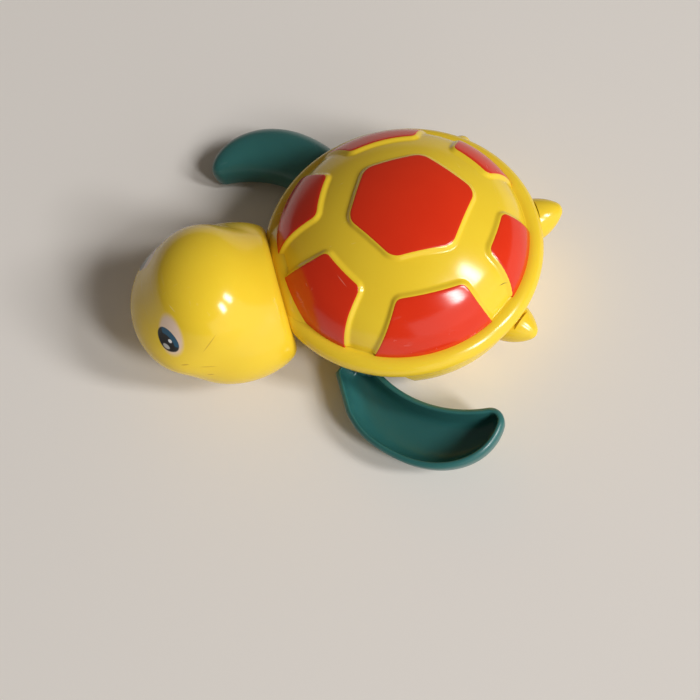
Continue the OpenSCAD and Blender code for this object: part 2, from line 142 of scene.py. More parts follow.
# %% Helpers for single nodes
def math_node(tree, operation, value, *others, clamp=False):
    """Applies an operation to a value and to each of the others in turn."""
    for other in others or (0.0,):
        value = fed(tree, "ShaderNodeMath", {0: value, 1: other}, operation=operation, use_clamp=clamp)[0]
    return value


def plus(tree, *values):
    return math_node(tree, "ADD", *values)


def minus(tree, *values):
    return math_node(tree, "SUBTRACT", *values)


def times(tree, *values):
    return math_node(tree, "MULTIPLY", *values)


def remap(tree, value, low, high, to_low=0.0, to_high=1.0):
    values = dict(enumerate((value, low, high, to_low, to_high)))
    return fed(tree, "ShaderNodeMapRange", values, interpolation_type="SMOOTHSTEP")[0]


def mix_colour(tree, share, first, second):
    return fed(tree, "ShaderNodeMix", {"Factor": share, 6: first, 7: second}, data_type="RGBA")[2]


def vector_node(tree, operation, first, second):
    return fed(tree, "ShaderNodeVectorMath", {0: first, 1: second}, operation=operation)


def stretched(tree, place, scale, turn=(0.0, 0.0, 0.0)):
    return fed(tree, "ShaderNodeMapping", {"Vector": place, "Rotation": turn, "Scale": scale})[0]


def noise(tree, place, scale, detail=2.0):
    return fed(tree, "ShaderNodeTexNoise", {"Vector": place, "Scale": scale, "Detail": detail})[0]


def bump(tree, height, strength, distance):
    values = {"Height": height, "Strength": strength, "Distance": distance}
    return fed(tree, "ShaderNodeBump", values)[0]


print("single node helpers ready")

# %% Moulding skin: wandering gloss, faint ripple, slow tint
SLOW_SCALE, WAVE_SCALE, FINE_SCALE = 45.0, 110.0, 900.0
FINE_GLOSS, FINE_HEIGHT = 0.03, 0.05
TINT_FROM, TINT_TO = 0.3, 0.7


def make_moulding_skin():
    inputs = [("Position", VECTOR), ("Gloss", FLOAT, 0.2), ("Wander", FLOAT, 0.06)]
    outputs = [("Roughness", FLOAT), ("Ripple", FLOAT), ("Tint", FLOAT)]
    tree, given, out = new_tree("Moulding skin", inputs, outputs)
    slow = noise(tree, given["Position"], SLOW_SCALE, detail=3.0)
    fine = noise(tree, given["Position"], FINE_SCALE)
    wave = noise(tree, given["Position"], WAVE_SCALE, detail=1.0)
    swing = times(tree, minus(tree, slow, 0.5), given["Wander"])
    wire(tree, plus(tree, given["Gloss"], swing, times(tree, fine, FINE_GLOSS)), out["Roughness"])
    wire(tree, plus(tree, wave, times(tree, fine, FINE_HEIGHT)), out["Ripple"])
    wire(tree, remap(tree, slow, TINT_FROM, TINT_TO), out["Tint"])
    return tree


moulding_skin = make_moulding_skin()
print("group", moulding_skin.name)

# %% Hairline scuffs: stretched noise, kept to a few worn patches
SCUFF_WAYS = ((0.5, 0), (-0.9, 1), (2.1, 0))
SCUFF_ACROSS, SCUFF_ALONG, SCUFF_LEAN, SCUFF_TILT = 900.0, 26.0, 0.4, 0.3
STREAK_FROM, STREAK_TO = 0.72, 0.76
PATCH_SCALE, PATCH_FROM, PATCH_TO = 70.0, 0.5, 0.62


def make_hairline_scuffs():
    inputs = [("Position", VECTOR), ("Amount", FLOAT, 0.5)]
    tree, given, out = new_tree("Hairline scuffs", inputs, [("Scuffs", FLOAT)])
    lines = []
    for turn, long_way in SCUFF_WAYS:
        scale = [SCUFF_ALONG if axis == long_way else SCUFF_ACROSS for axis in range(3)]
        place = stretched(tree, given["Position"], scale, (SCUFF_LEAN * turn, SCUFF_TILT, turn))
        lines.append(remap(tree, noise(tree, place, 1.0, detail=1.0), STREAK_FROM, STREAK_TO))
    every = math_node(tree, "MAXIMUM", *lines)
    patch = remap(tree, noise(tree, given["Position"], PATCH_SCALE), PATCH_FROM, PATCH_TO)
    amount = math_node(tree, "MULTIPLY", times(tree, every, patch), given["Amount"], clamp=True)
    wire(tree, amount, out["Scuffs"])
    return tree


hairline_scuffs = make_hairline_scuffs()
print("group", hairline_scuffs.name)

# %% Printed oval: how far a point lies inside an oval drawn on the surface
OVAL_SIDES = ("Long side", "Short side", "Facing")


def make_printed_oval():
    inputs = [(label, VECTOR) for label in ("Position", "Middle", *OVAL_SIDES)]
    tree, given, out = new_tree("Printed oval", inputs + [("Softness", FLOAT)], [("Mask", FLOAT)])
    offset = vector_node(tree, "SUBTRACT", given["Position"], given["Middle"])[0]
    squares = []
    for side in OVAL_SIDES:
        share = vector_node(tree, "DOT_PRODUCT", offset, given[side])["Value"]
        squares.append(math_node(tree, "POWER", math_node(tree, "ABSOLUTE", share), 2.0))
    reach = math_node(tree, "SQRT", plus(tree, *squares))
    inner, outer = minus(tree, 1.0, given["Softness"]), plus(tree, 1.0, given["Softness"])
    wire(tree, remap(tree, reach, inner, outer, 1.0, 0.0), out["Mask"])
    return tree


printed_oval = make_printed_oval()
print("group", printed_oval.name)


# %% Single marks, painted as thin ovals
def oval(tree, position, middle, sides, halves, softness, depth):
    """Mask of an oval with a middle, two side directions and two half lengths in millimetres."""
    along, across = [Vector(side).normalized() for side in sides]
    return use_group(
        tree,
        printed_oval,
        position,
        Middle=Vector(middle) * MM,
        Long_side=along / (halves[0] * MM),
        Short_side=across / (halves[1] * MM),
        Facing=along.cross(across).normalized() / (depth * MM),
        Softness=softness,
    )["Mask"]


MARK_FACING = Vector((0.2, 0.85, 0.45))
MARK_SOFTNESS, MARK_DEPTH = 0.5, 3.0
HAIR_BLACK, SPECK_BLACK = (0.05, 0.03, 0.01, 1.0), (0.02, 0.01, 0.01, 1.0)
SCRATCH_PINK, SCRATCH_PALE = (0.85, 0.35, 0.25, 1.0), (0.95, 0.8, 0.4, 1.0)
HEAD_BROWN = (0.4, 0.16, 0.01, 1.0)
# Each mark: middle, direction, half lengths, strength, colour
SHELL_MARKS = (((-19.75, 21.7, 28.1), (-0.82, -0.44, -0.44), (1.0, 0.1), 0.85, HAIR_BLACK),)
SCUTE_MARKS = (
    ((-5.48, 30.91, 19.89), (1.0, 0.0, 0.0), (0.5, 0.3), 0.85, SPECK_BLACK),
    ((16.65, 13.0, 35.65), (-0.36, 0.92, -0.16), (1.5, 0.1), 0.5, SCRATCH_PINK),
)
HEAD_MARKS = (
    ((50.34, 16.11, 29.4), (0.704, 0.223, -0.674), (2.6, 0.12), 0.5, HEAD_BROWN),
    ((57.78, 16.88, 23.78), (-0.942, 0.295, 0.159), (0.9, 0.17), 0.6, HEAD_BROWN),
    ((52.68, 18.53, 22.76), (-0.97, 0.209, -0.126), (1.7, 0.12), 0.5, HEAD_BROWN),
    ((52.8, 19.23, 19.81), (-0.969, 0.248, -0.02), (0.75, 0.16), 0.6, HEAD_BROWN),
    ((56.36, 7.7, 35.28), (-0.417, 0.895, -0.158), (1.0, 0.1), 0.5, SCRATCH_PALE),
)


def add_marks(tree, place, colour, marks):
    for middle, along, halves, strength, tone in marks:
        sides = (along, Vector(along).cross(MARK_FACING))
        mark = oval(tree, place, middle, sides, halves, MARK_SOFTNESS, MARK_DEPTH)
        colour = mix_colour(tree, times(tree, mark, strength), colour, tone)
    return colour


print("single marks", len(SHELL_MARKS) + len(SCUTE_MARKS) + len(HEAD_MARKS))

# %% [markdown]
# ## Plastics
# All plastics are one recipe with other numbers: a base colour that drifts between two near tones, gloss
# broken by the groups above, and a bump so weak that it only softens the reflections. The colours are
# linear values, matched to the photograph.

# %% The recipe for moulded plastic
PALE_SHARE, PALE_ADDED = 0.75, 0.2
SCUFF_COLOUR, SCUFF_ROUGHNESS = 0.35, 0.25
SKIN_WANDER, SKIN_STRENGTH, SKIN_RIPPLE, PLASTIC_IOR = 0.06, 0.35, 0.00002, 1.5
GLOW, GLOW_RADIUS = 0.06, (0.002, 0.0012, 0.0004)


def start_material(name):
    material = bpy.data.materials.new(name)
    material.use_nodes = True
    tree = material.node_tree
    place = fed(tree, "ShaderNodeTexCoord", {})["Object"]
    return material, tree, tree.nodes["Principled BSDF"], place


def rgba(colour):
    return (*colour, 1.0)


def moulded_plastic(name, tones, gloss, scuff, ripple=SKIN_RIPPLE, glow=GLOW, prints=None, marks=()):
    material, tree, shader, place = start_material(name)
    skin = use_group(tree, moulding_skin, place, Gloss=gloss, Wander=SKIN_WANDER)
    scuffs = use_group(tree, hairline_scuffs, place, Amount=scuff)["Scuffs"]
    tone, deep_tone = tones
    colour = mix_colour(tree, skin["Tint"], rgba(deep_tone), rgba(tone))
    pale = rgba([PALE_SHARE * c + PALE_ADDED for c in tone])
    colour = mix_colour(tree, times(tree, scuffs, SCUFF_COLOUR), colour, pale)
    if prints:
        colour = prints(tree, place, colour)
    values = {
        "Base Color": add_marks(tree, place, colour, marks),
        "Roughness": plus(tree, skin["Roughness"], times(tree, scuffs, SCUFF_ROUGHNESS)),
        "Normal": bump(tree, minus(tree, skin["Ripple"], scuffs), SKIN_STRENGTH, ripple),
        "IOR": PLASTIC_IOR,
        "Subsurface Weight": glow,
        "Subsurface Radius": GLOW_RADIUS,
        "Subsurface Scale": 1.0,
    }
    feed(tree, shader, values)
    return material


print("plastic recipe ready")

# %% Outside plastics
YELLOW = ((0.91, 0.645, 0.036), (0.89, 0.61, 0.03))
RED = ((0.78, 0.036, 0.007), (0.73, 0.03, 0.006))
TEAL = ((0.034, 0.165, 0.157), (0.028, 0.14, 0.134))
SATIN_RIPPLE = 0.000008

shell_yellow = moulded_plastic("shell_yellow_plastic", YELLOW, gloss=0.17, scuff=0.5, marks=SHELL_MARKS)
scute_red = moulded_plastic("scute_red_plastic", RED, gloss=0.16, scuff=0.6, marks=SCUTE_MARKS)
flipper_teal = moulded_plastic("flipper_teal_plastic", TEAL, gloss=0.28, scuff=0.2, ripple=SATIN_RIPPLE)
print("outside plastics ready")

# %% [markdown]
# ## The printed eye
# The eye is a pad print: a soft-edged pale field, a dark iris with a blue rim, a black pupil and two white
# glints. It lies flat on the curved head, so it is painted by the head's material. Each oval has a middle
# and two side directions on the skin. The position is mirrored across the middle plane, so that one print
# serves both eyes. The far one sits a little lower, because the photograph shows nothing of it.

# %% Eye print
FAR_EYE_SHIFT = Vector((1.2, 0.4, -3.0)) * MM
PRINT_DEPTH = 6.0
FIELD_SIDES = ((0.134, 0.635, -0.761), (-0.784, 0.537, 0.31))
IRIS_SIDES = ((-0.387, 0.835, -0.391), (-0.706, 0.004, 0.708))
GLINT_SIDES = ((-0.61, 0.773, -0.174), (-0.548, -0.253, 0.797))
# Each row: name, middle, sides, half lengths, softness, strength or the oval that it stays within, colour
EYE_OVALS = (
    ("field", (58.87, 11.53, 29.93), FIELD_SIDES, (5.1, 3.3), 0.2, 0.95, (0.82, 0.62, 0.5)),
    ("iris", (59.86, 11.77, 28.67), IRIS_SIDES, (3.5, 2.45), 0.05, 1.0, (0.006, 0.012, 0.014)),
    ("blue", (58.95, 11.7, 29.65), IRIS_SIDES, (3.2, 1.6), 0.12, "iris", (0.008, 0.085, 0.16)),
    ("pupil", (60.36, 12.01, 27.96), IRIS_SIDES, (2.6, 1.75), 0.1, 1.0, (0.004, 0.004, 0.005)),
    ("glint", (59.38, 12.29, 28.65), GLINT_SIDES, (0.55, 0.45), 0.15, 1.0, (0.85, 0.85, 0.82)),
    ("shine", (60.68, 12.53, 27.16), GLINT_SIDES, (1.0, 0.55), 0.2, 0.8, (0.62, 0.6, 0.55)),
)


def on_near_side(tree, place):
    """The position mirrored to the left half, with the far eye's shift taken off."""
    x, y, z = fed(tree, "ShaderNodeSeparateXYZ", {0: place})
    near = fed(tree, "ShaderNodeCombineXYZ", {0: x, 1: math_node(tree, "ABSOLUTE", y), 2: z})[0]
    far_side = math_node(tree, "LESS_THAN", y, 0.0)
    shift = fed(tree, "ShaderNodeVectorMath", {0: FAR_EYE_SHIFT, "Scale": far_side}, operation="SCALE")[0]
    return vector_node(tree, "SUBTRACT", near, shift)[0]


def eye_print(tree, place, colour):
    both = on_near_side(tree, place)
    masks = {}
    for label, middle, sides, halves, softness, strength, tone in EYE_OVALS:
        masks[label] = oval(tree, both, middle, sides, halves, softness, PRINT_DEPTH)
        shown = times(tree, masks[label], masks.get(strength, strength))
        colour = mix_colour(tree, shown, colour, rgba(tone))
    return colour


head_yellow = moulded_plastic(
    "head_yellow_plastic", YELLOW, gloss=0.15, scuff=0.4, prints=eye_print, marks=HEAD_MARKS
)
print("head plastic with", len(HEAD_MARKS), "marks and a mirrored eye")

# %% [markdown]
# ## Finishes inside the hull
# The clockwork is hidden, but it shows when the toy is taken apart: white gears of a slippery plastic, a
# dark gearbox, and bright steel shafts and screws with fine lines from drawing and turning.

# %% Gear plastic, gearbox plastic and steel
GEAR_TONES = ((0.80, 0.79, 0.74), (0.74, 0.73, 0.67))
GEARBOX_TONES = ((0.11, 0.1, 0.095), (0.085, 0.08, 0.075))
COARSE_RIPPLE, STEEL_RIPPLE = 0.00005, 0.00002
DRAWN_ALONG, DRAWN_ACROSS = 60.0, 2600.0
STEEL_GLOSS, STEEL_WANDER, STEEL_DARK, LINE_ROUGHNESS, LINE_STRENGTH = 0.24, 0.1, 0.75, 0.12, 0.2
gear_white = moulded_plastic("gear_white_plastic", GEAR_TONES, gloss=0.42, scuff=0.2, glow=0.0)
gearbox_grey = moulded_plastic(
    "gearbox_grey_plastic", GEARBOX_TONES, gloss=0.5, scuff=0.3, ripple=COARSE_RIPPLE, glow=0.0
)


def drawn_steel(name, tone, along):
    material, tree, shader, place = start_material(name)
    scale = [DRAWN_ALONG if axis == along else DRAWN_ACROSS for axis in range(3)]
    lines = noise(tree, stretched(tree, place, scale), 1.0)
    skin = use_group(tree, moulding_skin, place, Gloss=STEEL_GLOSS, Wander=STEEL_WANDER)
    darker = rgba([STEEL_DARK * c for c in tone])
    values = {
        "Base Color": mix_colour(tree, lines, darker, rgba(tone)),
        "Roughness": plus(tree, skin["Roughness"], times(tree, lines, LINE_ROUGHNESS)),
        "Normal": bump(tree, lines, LINE_STRENGTH, STEEL_RIPPLE),
        "Metallic": 1.0,
    }
    feed(tree, shader, values)
    return material


shaft_steel = drawn_steel("shaft_steel", (0.62, 0.63, 0.65), along=1)
screw_steel = drawn_steel("screw_steel", (0.6, 0.6, 0.6), along=2)
spring_steel = drawn_steel("spring_steel", (0.42, 0.44, 0.48), along=1)
print("inside finishes ready")

# %% [markdown]
# ## The dome
# The shell is a dome drawn with two arcs: a wide crown arc and a rounder shoulder, tangent to each other.
# Both share one normal direction, so a point is given by its bearing round the dome and by the slope of
# its normal, and any surface above or below is the same formula with another offset. Numbers are in
# millimetres, as in the CAD model.

# %% Dome formula
BASE_Z, DOME_H, DOME_R, SHOULDER_R = 20.3, 21.2, 31.4, 16.0
SHOULDER_C = DOME_R - SHOULDER_R
CROWN_R = (SHOULDER_C**2 + DOME_H**2 - SHOULDER_R**2) / (2 * (DOME_H - SHOULDER_R))
CROWN_Z = DOME_H - CROWN_R
CROWN_END = math.atan2(SHOULDER_C, -CROWN_Z)
SILL_H = 2.75
SILL_SLOPE = math.acos(SILL_H / SHOULDER_R)


def dome_point(bearing, slope, lift):
    """Points on the dome; lift moves them out along the normal."""
    crown = slope < CROWN_END
    radius = np.where(crown, CROWN_R, SHOULDER_R) + lift
    r = np.where(crown, 0.0, SHOULDER_C) + radius * np.sin(slope)
    z = np.where(crown, CROWN_Z, 0.0) + radius * np.cos(slope)
    return np.stack([r * np.cos(bearing), r * np.sin(bearing), BASE_Z + z], axis=-1)


def dome_section(p):
    """Radius and height of points over the dome's base, and whether the crown arc is the nearer one."""
    r, z = np.hypot(p[..., 0], p[..., 1]), p[..., 2] - BASE_Z
    return r, z, r * -CROWN_Z < (z - CROWN_Z) * SHOULDER_C


def dome_gap(p):
    """Distance of points from the dome, negative inside."""
    r, z, crown = dome_section(p)
    shoulder = np.hypot(np.maximum(r - SHOULDER_C, 0.0), z) - SHOULDER_R
    return np.where(crown, np.hypot(r, z - CROWN_Z) - CROWN_R, shoulder)


def dome_place(p):
    """Bearing and slope of points on the dome."""
    r, z, crown = dome_section(p)
    slope = np.where(crown, np.arctan2(r, z - CROWN_Z), np.arctan2(r - SHOULDER_C, z))
    return np.arctan2(p[..., 1], p[..., 0]), slope


print("crown radius", round(CROWN_R, 2), "mm, crown ends at", round(math.degrees(CROWN_END), 1), "degrees")

# %% [markdown]
# ## The shell panels' outlines
# One six-sided panel sits on the crown and three four-sided ones run down each side to the rim. The crown
# panel is outlined from straight above, a side panel as seen along its own slanting direction, which keeps
# its edges straight to the eye.

# %% Panel outlines
CENTRE_PLAN = np.array([[11.4, 0], [4.2, 12.7], [-9.9, 13.1], [-19.4, 0], [-9.9, -13.1], [4.2, -12.7]])
# Each side panel: upper corners, lower corners, and the bearing and tilt it is seen along
SIDE_PANELS = {
    "scute_front": ([[18.3, 5.1], [13, 16.1]], [[20.2, 23.6], [28.2, 4]], (31, 52)),
    "scute": ([[5.9, 21.1], [-10.2, 21.3]], [[-14.8, 27.4], [13.9, 27.8]], (91, 52)),
    "scute_rear": ([[-18, 14.9], [-24, 5.6]], [[-30.2, 7.1], [-21.2, 22.8]], (149, 54)),
}
AIM_FROM = np.array([0, 0, BASE_Z - 5])
RUN_DOWN = 6.0
SIGHT_LENGTH, HALVINGS = 60.0, 44


def unit(v):
    return v / np.linalg.norm(v)


def rotated(u, v, angle):
    c, s = math.cos(angle), math.sin(angle)
    return u * c - v * s, u * s + v * c


def sight(aim):
    """Three directions for an aim: the two across the line of sight, and the line itself."""
    a, b = map(math.radians, aim)
    ahead, aside = np.array([math.cos(a), math.sin(a), 0]), [-math.sin(a), math.cos(a), 0]
    up = np.array([0, 0, 1])
    return np.array([ahead * math.cos(b) - up * math.sin(b), aside, ahead * math.sin(b) + up * math.cos(b)])


def seen_along(p, aim):
    return (p - AIM_FROM) @ sight(aim)[:2].T


def by_halving(gap, point, count, near, far):
    """The point of each of many lines where a gap turns positive, by halving the step again and again."""
    near, far = np.full(count, near), np.full(count, far)
    for _ in range(HALVINGS):
        middle = (near + far) / 2
        outside = gap(point(middle)) > 0
        far = np.where(outside, middle, far)
        near = np.where(outside, near, middle)
    return point(near)


def back_to_dome(seen, aim):
    """The point of the dome behind each seen point."""
    axes = sight(aim)

    def at_depth(depth):
        return seen @ axes[:2] + depth[:, None] * axes[2] + AIM_FROM

    return by_halving(dome_gap, at_depth, len(seen), 0.0, SIGHT_LENGTH)


def on_dome(plan, lift=0.0):
    """Points of the dome under or over a plan drawn from straight above."""
    x, y = np.asarray(plan, float).T
    r = np.hypot(x, y)
    crown = np.arcsin(np.clip(r / CROWN_R, -1, 1))
    shoulder = np.arcsin(np.clip((r - SHOULDER_C) / SHOULDER_R, -1, 1))
    slope = np.where(crown < CROWN_END, crown, shoulder)
    return dome_point(np.arctan2(y, x), slope, lift)


def side_corners(top, low, aim):
    """Corners of a side panel as seen along its aim, the lower ones drawn out past the rim."""
    upper, lower = seen_along(on_dome(top), aim), seen_along(on_dome(low), aim)
    drawn_out = [p + RUN_DOWN * unit(p - q) for p, q in zip(lower, upper[::-1])]
    return np.array([*upper, *drawn_out])


print("panels", 1 + 2 * len(SIDE_PANELS))

# %% Rounded outlines in a flat map
CORNER_R, CROWN_CORNER_R, CORNER_STEPS = 2.0, 3.8, 9
FAR_AWAY, TINY = 1e9, 1e-9


def loop_sense(loop):
    """Twice the area within a flat loop, positive when it runs anticlockwise."""
    after = np.roll(loop, -1, axis=0)
    return np.sum(loop[:, 0] * after[:, 1] - after[:, 0] * loop[:, 1])


def drawn_in(corners, amount):
    """A convex outline moved inward by amount, with the normals of its sides."""
    sides = np.roll(corners, -1, axis=0) - corners
    normals = np.sign(loop_sense(corners)) * np.stack([sides[:, 1], -sides[:, 0]], axis=1)
    normals /= np.linalg.norm(normals, axis=1)[:, None]
    before = np.roll(normals, 1, axis=0)
    push = (before + normals) / (1 + np.sum(before * normals, axis=1))[:, None]
    return corners - amount * push, normals


def along_line(line, shares):
    """Points at given shares of a line's length."""
    run = np.concatenate([[0], np.cumsum(np.linalg.norm(np.diff(line, axis=0), axis=1))])
    return np.stack([np.interp(shares * run[-1], run, line[:, axis]) for axis in range(2)], axis=-1)


def even_loop(loop, count):
    """Points spaced evenly along a closed loop."""
    return along_line(np.concatenate([loop, loop[:1]]), np.linspace(0, 1, count, endpoint=False))


def rounded_loop(corners, radius, count):
    """The outline with round corners, as points spaced evenly along it."""
    inner, normals = drawn_in(corners, radius)
    rough = []
    for middle, first, last in zip(inner, np.roll(normals, 1, axis=0), normals):
        for share in np.linspace(0, 1, CORNER_STEPS):
            rough.append(middle + radius * unit(first * (1 - share) + last * share))
    return even_loop(np.array(rough), count)


def outline_gap(points, corners, radius):
    """Distance of points from a rounded outline, negative inside."""
    inner, _ = drawn_in(corners, radius)
    best, inside = np.full(len(points), FAR_AWAY), np.zeros(len(points), bool)
    for p, q in zip(inner, np.roll(inner, -1, axis=0)):
        side, w = q - p, points - p
        share = np.clip((w @ side) / (side @ side), 0, 1)
        best = np.minimum(best, np.linalg.norm(w - np.outer(share, side), axis=1))
        spans = (p[1] > points[:, 1]) != (q[1] > points[:, 1])
        rise = side[1] if abs(side[1]) > TINY else TINY
        inside ^= spans & (points[:, 0] < p[0] + (points[:, 1] - p[1]) * side[0] / rise)
    return np.where(inside, -best, best) - radius


print("outline helpers ready")

# %% [markdown]
# ## The yellow shell
# The shell swells into a raised, bevelled step round each panel, and has a round bead along its rim and a
# broad hood over the neck. Displacing a dense grid along its normals gives the bevels soft edges without
# any cutting. The grid runs from the crown to the bead, under the rim and back up as the inner wall.


# %% Mesh helpers
def new_piece(name, points, faces, material):
    mesh = bpy.data.meshes.new(name)
    mesh.from_pydata((points * MM).tolist(), [], faces)
    mesh.polygons.foreach_set("use_smooth", np.ones(len(mesh.polygons), bool))
    mesh.materials.append(material)
    mesh.update()
    return put_in_scene(name, mesh)


def grid_faces(rows, columns, start=0, closed=True, turned=False):
    """Quads between neighbouring rows of points; a closed grid joins its last column to its first."""
    last = columns if closed else columns - 1
    r, c = np.meshgrid(np.arange(rows - 1), np.arange(last), indexing="ij")
    a = start + r * columns + c
    b = start + r * columns + (c + 1) % columns
    quads = np.stack([a, a + columns, b + columns, b], axis=-1).reshape(-1, 4)
    return (quads[:, ::-1] if turned else quads).tolist()


def fan(tip, ring, turned=False):
    ring = list(ring)
    pairs = zip(ring, ring[1:] + ring[:1])
    return [[tip, b, a] if turned else [tip, a, b] for a, b in pairs]


def capped_faces(rows, columns, start=0):
    """Faces of a closed grid and of a fan at each end; the fans' tips follow the grid's points."""
    end = start + rows * columns
    faces = grid_faces(rows, columns, start) + fan(end, range(start, start + columns))
    return faces + fan(end + 1, range(end - columns, end), turned=True)


def settle(obj, body, slot, *nodes):
    """Puts a finished piece on its body, in place of CAD nodes."""
    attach(obj, body)
    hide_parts(*nodes)
    print(obj.name, len(obj.data.polygons), "faces for", ", ".join(nodes))


print("mesh helpers ready")

# %% Shell grid
BEVEL_W, YELLOW_LOW, YELLOW_TOP = 1.25, -0.8, -0.1
BEAD_R, BEAD_C, BEAD_Z = 3.0, 31.5, 20.1
SEAM_Z, SHELL_IN, NECK_X = 17.2, 2.3, 31.4
HULL_FRONT = NECK_X - 0.02
AROUND, FIRST_ROWS, DOME_ROWS = 512, 9, 112
FIRST_ARC, FINE_ARC = 0.8, 9.0
FOOT_SLOPE = 0.05
CREASE_SEARCH = np.linspace(math.radians(60), math.radians(90), 3000)


def smooth(x):
    x = np.clip(x, 0, 1)
    return x * x * (3 - 2 * x)


def panel_gap(p):
    """Distance of dome points from the nearest panel's outline, negative on a panel."""
    gap = outline_gap(p[:, :2], CENTRE_PLAN, CROWN_CORNER_R)
    mirrored = p * np.array([1, -1, 1])
    for top, low, aim in SIDE_PANELS.values():
        corners = side_corners(top, low, aim)
        for q in (p, mirrored):
            side = outline_gap(seen_along(q, aim), corners, CORNER_R)
            gap = np.where(q[:, 1] > 0, np.minimum(gap, side), gap)
    return gap


def bead_crease():
    """Slope of the lowered dome where it runs into the bead."""
    p = dome_point(np.zeros_like(CREASE_SEARCH), CREASE_SEARCH, YELLOW_LOW)
    near = np.hypot(p[:, 0] - BEAD_C, p[:, 2] - BEAD_Z) - BEAD_R
    return CREASE_SEARCH[np.argmax(near < 0)]


crown_arc = CROWN_R * CROWN_END
crease = bead_crease()
whole_arc = crown_arc + SHOULDER_R * (crease - CROWN_END)
first_arcs = np.linspace(FIRST_ARC, FINE_ARC, FIRST_ROWS)
arcs = np.concatenate([first_arcs, np.linspace(FINE_ARC, whole_arc, DOME_ROWS)[1:]])
slopes = np.where(arcs < crown_arc, arcs / CROWN_R, CROWN_END + (arcs - crown_arc) / SHOULDER_R)
bearings = np.linspace(0, FULL_TURN, AROUND, endpoint=False)
bearing_grid, slope_grid = [grid.ravel() for grid in np.meshgrid(bearings, slopes)]
raise_share = 1 - smooth(panel_gap(dome_point(bearing_grid, slope_grid, 0.0)) / BEVEL_W)
lift = YELLOW_LOW + (YELLOW_TOP - YELLOW_LOW) * raise_share
foot = smooth((slope_grid - (crease - FOOT_SLOPE)) / FOOT_SLOPE)
lift = lift * (1 - foot) + YELLOW_LOW * foot
dome_points = dome_point(bearing_grid, slope_grid, lift)
print("dome rows", len(slopes), "around", AROUND)

# %% Rim bead, underside and inner wall of the shell
BEAD_STEPS, INNER_STEPS, INNER_END = 22, 14, 0.03
EDGE_CUT = 0.3
crease_point = dome_point(np.zeros(1), np.array([crease]), YELLOW_LOW)[0]
bead_from = math.atan2(crease_point[2] - BEAD_Z, crease_point[0] - BEAD_C)
bead_to = math.asin((SEAM_Z - BEAD_Z) / BEAD_R)
bead_angles = np.linspace(bead_from, bead_to, BEAD_STEPS)[1:]
profile = [[BEAD_C + BEAD_R * math.cos(a), BEAD_Z + BEAD_R * math.sin(a)] for a in bead_angles]
inner_r = DOME_R - SHELL_IN
profile += [[inner_r + EDGE_CUT, SEAM_Z], [inner_r, SEAM_Z + EDGE_CUT], [inner_r, BASE_Z]]
inner_slopes = np.linspace(math.radians(90), INNER_END, INNER_STEPS)[1:]
inner_wall = dome_point(np.zeros_like(inner_slopes), inner_slopes, -SHELL_IN)
profile = np.array(profile + [[p[0], p[2]] for p in inner_wall])
radii, heights = profile[:, :1], np.repeat(profile[:, 1:], AROUND, axis=1)
lower = np.stack([radii * np.cos(bearings), radii * np.sin(bearings), heights], axis=-1)
shell_points = np.concatenate([dome_points, lower.reshape(-1, 3)])
shell_points[:, 0] = np.minimum(shell_points[:, 0], HULL_FRONT)
shell_faces = capped_faces(len(shell_points) // AROUND, AROUND)
tips = [[0, 0, BASE_Z + DOME_H + YELLOW_TOP], [0, 0, BASE_Z + DOME_H - SHELL_IN]]
shell_points = np.concatenate([shell_points, tips])
print("shell points", len(shell_points))

# %% [markdown]
# The hood over the neck is a piece of a broad lying cylinder that dips into the dome, so the two meet in a
# clear crease as on the toy. Towards the head it slopes down, and its face stands flat against the head.

# %% Neck hood
HOOD_R, HOOD_Z = 22.0, BASE_Z - 13.3
HOOD_BACK, HOOD_BEND, HOOD_DROP = 17.0, 26.0, 3.2
HOOD_REACH, HOOD_FOOT = BEAD_C + BEAD_R - 0.9, SEAM_Z + 0.05
HOOD_SWING, HOOD_SIDES, HOOD_ROWS, HOOD_INSIDE = 62, 97, 25, 0.7
swings = np.radians(np.linspace(-HOOD_SWING, HOOD_SWING, HOOD_SIDES))
reach_squared = HOOD_REACH**2 - (HOOD_R * np.sin(swings)) ** 2
hood_reach = np.minimum(HULL_FRONT, np.sqrt(np.maximum(reach_squared, 1)))


def pulled_in(row):
    """A copy of a row of points, drawn towards the cylinder's axis."""
    axis = np.array([0, HOOD_Z])
    return np.concatenate([row[:, :1], (row[:, 1:] - axis) * HOOD_INSIDE + axis], axis=1)


hood_rows = []
for share in np.linspace(0, 1, HOOD_ROWS):
    x = HOOD_BACK + (hood_reach - HOOD_BACK) * share
    bend = np.clip((x - HOOD_BEND) / (NECK_X - HOOD_BEND), 0, 1)
    radius = HOOD_R - HOOD_DROP * bend**2
    hood_rows.append(np.stack([x, radius * np.sin(swings), HOOD_Z + radius * np.cos(swings)], axis=-1))
hood_rows += [pulled_in(hood_rows[-1]), pulled_in(hood_rows[0]), hood_rows[0]]
hood_points = np.concatenate(hood_rows)
hood_points[:, 2] = np.maximum(hood_points[:, 2], HOOD_FOOT)
hood_faces = grid_faces(len(hood_rows), HOOD_SIDES, len(shell_points), closed=False, turned=True)
whole_shell = np.concatenate([shell_points, hood_points])
shell = new_piece("shell_top", whole_shell, shell_faces + hood_faces, shell_yellow)
settle(shell, "hull", "shell_yellow", "upper_shell")

# %% [markdown]
# ## The red panels
# Each panel is a thin plate that follows the dome, a little proud of the yellow step, with a softly rounded
# edge. Its outline is laid on the dome and filled with rings that shrink towards the middle, so the plate
# has no seams. A side panel's lower edge follows the rim.

# %% Panel plates
RING_INSETS = (0.0, 0.1, 0.25, 0.5, 0.9)
RING_LIFTS = (-0.12, -0.065, -0.03, -0.008, 0.0)
SKIRT_LIFT = -0.9
FILL_SHARES = (0.86, 0.72, 0.56, 0.4, 0.24, 0.1)
LOOP_COUNT, FINE_COUNT = 176, 720
SILL_BAND = 0.06
MAP_SCALE = np.array([26.0, 20.0])


